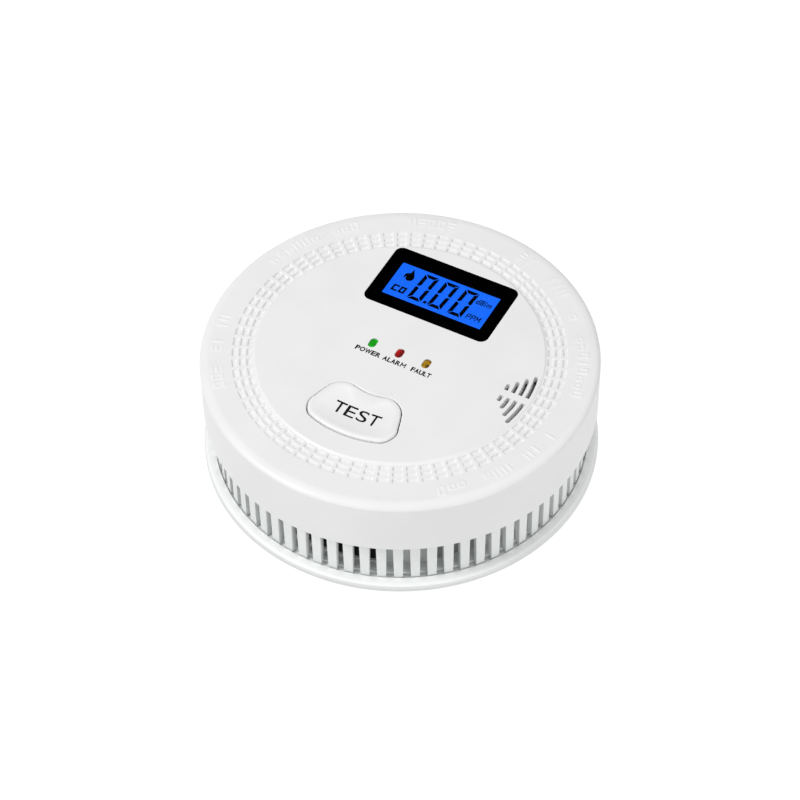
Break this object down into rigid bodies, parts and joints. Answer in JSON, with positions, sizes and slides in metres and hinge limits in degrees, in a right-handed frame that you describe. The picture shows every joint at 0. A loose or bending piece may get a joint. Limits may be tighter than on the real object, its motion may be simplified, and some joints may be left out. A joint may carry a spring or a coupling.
{
  "type": "carbon monoxide detector",
  "caption": "Round battery-powered smoke and carbon monoxide detector with a lit display, test button, side vents and a twist-off mounting bracket.",
  "frame": {"origin": "centre of the mounting bracket's back face, which rests on the wall, ceiling or table", "axes": "+Z out of the front cover along the detector's axis, +Y towards the display, -Y towards the test button, +X towards the sound slots"},
  "size_m": [0.1216, 0.1216, 0.0396],
  "materials": {
    "cover_plastic": "fine satin",
    "housing_plastic": "fine satin",
    "button_plastic": "satin",
    "black_plastic": "matt",
    "battery_case": "satin",
    "plated_steel": "bright",
    "red_wire": "satin",
    "black_wire": "satin",
    "board_laminate": "gloss",
    "clear_lens": "polished",
    "piezo_brass": "bright",
    "foam": "matt",
    "display_black": "gloss",
    "lcd_blue": "backlit",
    "light_guide": "gloss",
    "green_lens": "polished",
    "red_lens": "polished",
    "amber_lens": "polished",
    "ceramic_parts": "matt",
    "capacitor_sleeve": "gloss",
    "ferrite": "matt",
    "label_foil": "satin, blank"
  },
  "bodies": {
    "bracket": {"mounting_bracket": "housing_plastic"},
    "detector": {"rear_housing": "housing_plastic", "front_cover": "cover_plastic", "battery": "battery_case", "battery_terminals": "plated_steel", "battery_clip": "black_plastic", "battery_lead_red": "red_wire", "battery_lead_black": "black_wire", "circuit_board": "board_laminate", "smoke_chamber_base": "black_plastic", "smoke_labyrinth_cap": "black_plastic", "insect_screen": "plated_steel", "vent_screens": "black_plastic", "smoke_emitter": "clear_lens", "smoke_photodiode": "black_plastic", "co_sensor": "plated_steel", "co_sensor_filter": "housing_plastic", "sounder_horn": "black_plastic", "piezo_disc": "piezo_brass", "sounder_gasket": "foam", "display_window": "clear_lens", "display_mask": "display_black", "lcd_glass": "lcd_blue", "lcd_backlight": "light_guide", "lcd_holder": "housing_plastic", "lcd_connector": "foam", "power_light_pipe": "green_lens", "alarm_light_pipe": "red_lens", "fault_light_pipe": "amber_lens", "light_pipe_holder": "black_plastic", "indicator_leds": "light_guide", "tact_switch_body": "black_plastic", "microcontroller": "black_plastic", "surface_parts": "ceramic_parts", "capacitors": "capacitor_sleeve", "boost_inductor": "ferrite", "housing_screws": "plated_steel", "board_screws": "plated_steel", "rear_label": "label_foil"},
    "test_button": {"test_button": "button_plastic"},
    "switch_plunger": {"switch_plunger": "black_plastic"},
    "battery_door": {"battery_door": "housing_plastic"}
  },
  "joints": [
    {"name": "twist_lock", "type": "hinge", "parent": "bracket", "child": "detector", "pos_m": [0, 0, 0.005], "axis": [0, 0, 1], "range_deg": [0, 15]},
    {"name": "button_press", "type": "slide", "parent": "detector", "child": "test_button", "axis": [0, 0, -1], "range_m": [0, 0.0005], "stiffness_N_per_m": 800, "springref_m": -0.0005},
    {"name": "switch_press", "type": "slide", "parent": "detector", "child": "switch_plunger", "axis": [0, 0, -1], "range_m": [0, 0.0005]},
    {"name": "battery_door_hinge", "type": "hinge", "parent": "detector", "child": "battery_door", "pos_m": [0, -0.0016, 0.005], "axis": [-1, 0, 0], "range_deg": [0, 95]}
  ],
  "couplings": [
    {"joint": "switch_press", "follows": "button_press", "ratio": 1}
  ]
}
